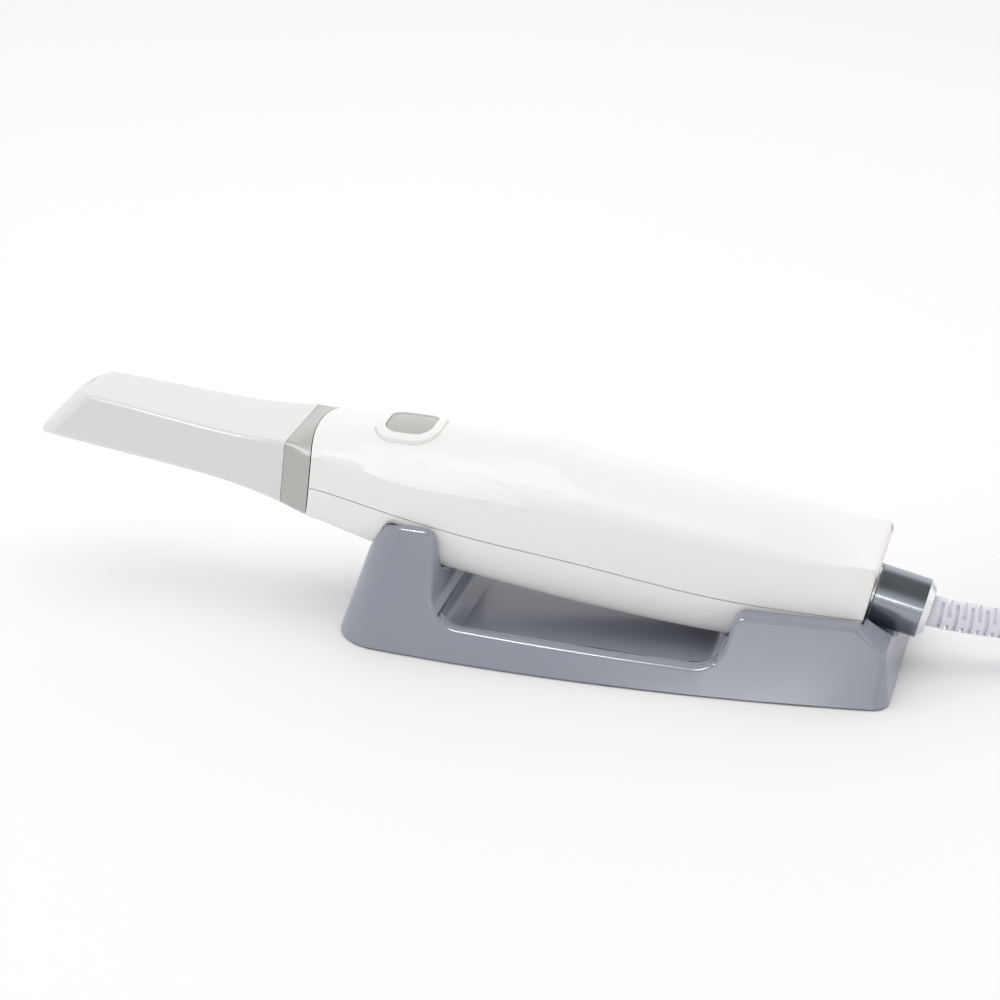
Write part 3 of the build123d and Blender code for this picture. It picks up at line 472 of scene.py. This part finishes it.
# Silk-faced white ABS: clean white with a wide, quiet highlight that has no hard rim.
white_abs = grained_finish("white_abs_silk_moulded", "#f4f2f0", "#f1efed", 0.03, 0.0006, 0.05, 0.50, IOR=1.5)
upper = rounded_rear(lowered_rear(softened_thumb_rest(copied("upper_shell"))))
lower = rounded_rear(copied("lower_shell"))
placed("silk_upper_shell", upper, "root", white_abs, ["upper_shell"], shell_sharp_degrees)
placed("silk_lower_shell", lower, "root", white_abs, ["lower_shell"], shell_sharp_degrees)


# Button: a warm grey cap in a raised white bezel. Both are moulded, with a small round along the
# upper edge, and the cap sinks less than a millimetre onto a tact switch.
rim_height = 0.0575
rim_sharp_degrees = 50
bezel_round = 0.0005
cap_round = 0.00025


def bent(edge, degrees, low):
    """Whether an edge between two faces turns by more than some degrees and lies above a height."""
    return (len(edge.link_faces) == 2 and edge.calc_face_angle(0) > math.radians(degrees)
            and min(v.co.z for v in edge.verts) > low)


def rounded_edges(made, edges, width, segments, clamp):
    """Round some edges by a width."""
    bmesh.ops.bevel(made, geom=edges, offset=width, offset_type="OFFSET", affect="EDGES",
                    segments=segments, profile=0.5, material=-1, clamp_overlap=clamp)
    return made


def softened_rim(made, width):
    """Round the sharp upper edges of a button piece."""
    rim = [e for e in made.edges if bent(e, rim_sharp_degrees, rim_height)]
    return rounded_edges(made, rim, width, 3, True)


# Satin polymer: a warm grey, a little glossier than the body so that the thumb finds it.
button_polymer = grained_finish("light_grey_polymer_moulded", "#bcbab7", "#b8b6b3", 0.01, 0.0004, 0.05, 0.38)
bezel = softened_rim(copied("button_bezel"), bezel_round)
cap = softened_rim(copied("button_cap"), cap_round)
placed("raised_bezel", bezel, "root", white_abs, ["button_bezel"], shell_sharp_degrees)
placed("grey_button_cap", cap, "button", button_polymer, ["button_cap"], shell_sharp_degrees)
# Nylon: black with a waxy, half-matt face.
black_nylon = grained_finish("black_nylon_moulded", "#1c1c1e", "#232326", 0.01, 0.0003, 0.08, 0.5)
finished(black_nylon, "switch_plunger")
# Stainless steel: a cool mid grey with softly blurred reflections.
bright_steel = grained_finish("stainless_steel_rolled", "#c3c4c5", "#babcbd", 0.01, 0.0003, 0.04, 0.28,
                              Metallic=1.0)
finished(bright_steel, "tact_switch")


# Cradle: one glossy moulding in blue-grey ABS with soft edges everywhere, hollow under its posts,
# on four soft rubber feet. The scanner lies in its saddles and is held by its own weight.
def opened_trough(made, front=-0.0024, rear=0.0799, half=0.0285, floor=0.0046, rim=0.0095):
    """Lean the trough's walls outwards, as far as the thin rim that the real one leaves."""
    slack = 0.0001
    corner = 0.007
    side_splay = 0.0030
    end_splay = 0.0018
    front_share = 0.35
    full_splay_from_front = 0.03
    for vert in made.verts:
        x, y, z = vert.co
        if not (front - slack < x < rear + slack and abs(y) < half + slack and z > floor - slack):
            continue
        up = min(1.0, (z - floor) / (rim - floor))
        along = front_share + (1 - front_share) * eased(x, front, front + full_splay_from_front)
        side = up * eased(abs(y), half - corner, half) * along
        ends = eased(-x, -front - corner, -front) - eased(x, rear - corner, rear)
        vert.co.y += math.copysign(side_splay * side, y)
        vert.co.x -= end_splay * up * ends
    return made


def rear_corner(edge):
    """Whether an edge is one of the cradle's upright rear corners."""
    upright_share = 0.6
    rear_wall_from = 0.110
    side_wall_from = 0.025
    a, b = (v.co for v in edge.verts)
    upright = abs(a.z - b.z) > upright_share * (a - b).length
    return upright and min(a.x, b.x) > rear_wall_from and min(abs(a.y), abs(b.y)) > side_wall_from


def soft_edged(made):
    """Merge the flat triangles, round the rear corners widely, then every edge above the foot."""
    flat_turn = math.radians(1.0)
    bend_degrees = 24
    corner_round = 0.0045
    corner_low = 0.0003
    edge_round = 0.0013
    edge_low = 0.0022
    bmesh.ops.dissolve_limit(made, angle_limit=flat_turn, verts=made.verts[:], edges=made.edges[:])
    corners = [e for e in made.edges if e.is_convex and bent(e, bend_degrees, corner_low) and rear_corner(e)]
    rounded_edges(made, corners, corner_round, 6, False)
    edges = [e for e in made.edges if e.is_convex and bent(e, bend_degrees, edge_low)]
    return rounded_edges(made, edges, edge_round, 4, False)


cradle_sharp_degrees = 50
# Glossy ABS from a polished tool: blue grey and wet looking, with a thin bright line on each edge.
# The only slow waves in it are 6 mm wide, as large as a moulding's sinks.
cradle_abs = grained_finish("blue_grey_abs_gloss_moulded", "#9599a3", "#9094a0", 0.03, 0.006, 0.03, 0.20,
                            IOR=1.5)
cradle = placed("soft_edged_cradle", soft_edged(opened_trough(copied("cradle"))), "root", cradle_abs,
                ["cradle"], cradle_sharp_degrees)
even = cradle.modifiers.new("even_flat_faces", "WEIGHTED_NORMAL")
even.keep_sharp = True
even.weight = 100
# Rubber: a soft black that reflects next to nothing.
foot_rubber = grained_finish("black_rubber_moulded", "#1d1d1e", "#242425", 0.01, 0.0005, 0.15, 0.7)
finished(foot_rubber, "cradle_feet")

# Optics and frame inside: turned and black-anodised aluminium for the lens barrel, the prism's
# bracket and the pattern projector, plain milled aluminium for the chassis and the heat sink.

# Anodised aluminium: a deep satin black with a metal's edge to its highlights.
black_anodised = grained_finish("black_anodised_aluminium", "#202024", "#28282c", 0.01, 0.0003, 0.05, 0.35,
                                Metallic=1.0)
finished(black_anodised, "lens_barrel", "prism_bracket", "pattern_projector")
# Milled aluminium: pale and bright, faintly roughened by the cutter.
milled = grained_finish("milled_aluminium", "#c9cbce", "#c1c3c6", 0.01, 0.0002, 0.08, 0.3, Metallic=1.0)
finished(milled, "chassis_plate", "heat_sink")

# Boards: glass-fibre laminate under green solder mask, screwed to the frame, with moulded epoxy
# packages soldered on. The copper traces under the mask show as paler lanes.
lane_unit = 0.012
lane_spacing = 0.00192
lane_width = 0.00072
lane_length = 0.006
lane_height = 0.00005
# Solder mask: a glossy green lacquer, paler and slightly raised over the copper.
solder_mask = bpy.data.materials.new("green_solder_mask_on_laminate")
solder_mask.use_nodes = True
tree = solder_mask.node_tree
tree.nodes.clear()
place = add(tree, "ShaderNodeTexCoord").outputs["Object"]
lanes = add(tree, "ShaderNodeTexBrick", {
    "Vector": place, "Scale": 1 / lane_unit, "Mortar Size": lane_width / 2 / lane_unit,
    "Brick Width": lane_length / lane_unit, "Row Height": lane_spacing / lane_unit,
    "Color1": srgb("#1c6b46"), "Color2": srgb("#1a6241"), "Mortar": srgb("#2f8a5e")})
relief = add(tree, "ShaderNodeBump", {"Height": lanes.outputs["Fac"], "Strength": 0.3,
                                      "Distance": lane_height})
shader = add(tree, "ShaderNodeBsdfPrincipled", {"Base Color": lanes.outputs["Color"], "Roughness": 0.3,
                                                "Normal": relief.outputs["Normal"]})
add(tree, "ShaderNodeOutputMaterial", {"Surface": shader.outputs[0]})
finished(solder_mask, "button_board", "camera_board", "main_board")
# Moulded epoxy: black and dull, with the fine tooth of a chip's case.
epoxy = grained_finish("black_epoxy_moulded", "#1e1e20", "#262629", 0.005, 0.0002, 0.12, 0.55)
finished(epoxy, "board_chips", "image_sensor")

# Small fasteners: brass standoffs cut from hexagon bar, and stainless steel screws, which hold
# the boards to the frame and the two shells to each other.

# Turned brass: a warm yellow metal with clear highlights.
brass = grained_finish("brass_turned", "#c9a45a", "#be9a52", 0.01, 0.0002, 0.05, 0.25, Metallic=1.0)
finished(brass, "board_standoffs")
finished(bright_steel, "board_screws", "case_screws")

# Studio: a white table that runs on under everything, a wide softbox overhead that gives only
# soft light, and two lamps that show only in reflections, as bright lines along the tip and the
# release sleeve. The sky is white to the camera, but what it lights sees it dim in front and above.
table_half = 3.0
table = bmesh.new()
bmesh.ops.create_grid(table, x_segments=1, y_segments=1, size=table_half)
table_mesh = bpy.data.meshes.new("white_table")
table.to_mesh(table_mesh)
table.free()
table_top = bpy.data.objects.new("white_table", table_mesh)
bpy.context.scene.collection.objects.link(table_top)
# Matt laminate: a clean white that takes only the soft shadow.
white_laminate = grained_finish("white_laminate_matt", "#fafafa", "#f8f8f8", 0.5, 0.002, 0.0, 0.6)
table_mesh.materials.append(white_laminate)


def studio_lamp(name, place, aim, width, depth, watts, shows_in):
    """A rectangular lamp turned to its aim, which shows only in soft light or only in gloss."""
    data = bpy.data.lights.new(name, "AREA")
    data.shape = "RECTANGLE"
    data.size = width
    data.size_y = depth
    data.energy = watts
    lamp = bpy.data.objects.new(name, data)
    lamp.location = place
    lamp.rotation_euler = (Vector(aim) - Vector(place)).to_track_quat("-Z", "Y").to_euler()
    lamp.visible_diffuse = shows_in == "diffuse"
    lamp.visible_glossy = shows_in == "glossy"
    bpy.context.scene.collection.objects.link(lamp)


studio_lamp("overhead_softbox", place=(-0.10, 0.10, 1.5), aim=(0, 0, 0),
            width=1.8, depth=1.8, watts=14.0, shows_in="diffuse")
studio_lamp("tip_edge_lamp", place=(-0.27, -0.44, 1.09), aim=(-0.095, 0, 0.05),
            width=0.36, depth=0.14, watts=10.0, shows_in="glossy")
studio_lamp("collar_lamp", place=(0.05, -1.33, 0.47), aim=(0.13, 0, 0.02),
            width=0.30, depth=0.10, watts=1.6, shows_in="glossy")

far_side_level = 1.16
near_side_level = 0.88
level_sky = 1.0
overhead_sky = 0.25
world = bpy.data.worlds.new("white_studio_with_dark_ceiling")
bpy.context.scene.world = world
world.use_nodes = True
tree = world.node_tree
tree.nodes.clear()
direction = add(tree, "ShaderNodeTexCoord").outputs["Generated"]
heading = add(tree, "ShaderNodeSeparateXYZ", {0: direction})
sides = add(tree, "ShaderNodeMapRange", {
    "Value": heading.outputs["Y"], "From Min": 0.2, "From Max": -0.5,
    "To Min": far_side_level, "To Max": near_side_level}, interpolation_type="SMOOTHSTEP")
ceiling = add(tree, "ShaderNodeMapRange", {
    "Value": heading.outputs["Z"], "From Min": 0.52, "From Max": 0.86,
    "To Min": level_sky, "To Max": overhead_sky}, interpolation_type="SMOOTHSTEP")
level = add(tree, "ShaderNodeMath", {0: sides.outputs["Result"], 1: ceiling.outputs["Result"]},
            operation="MULTIPLY")
sky = add(tree, "ShaderNodeBackground", {"Color": srgb("#ffffff"), "Strength": level.outputs[0]})
plain = add(tree, "ShaderNodeBackground", {"Color": srgb("#ffffff"), "Strength": 1.0})
path = add(tree, "ShaderNodeLightPath")
choice = add(tree, "ShaderNodeMixShader", {0: path.outputs["Is Camera Ray"], 1: sky.outputs[0],
                                           2: plain.outputs[0]})
add(tree, "ShaderNodeOutputWorld", {"Surface": choice.outputs[0]})
bpy.context.scene.view_settings.view_transform = "Standard"
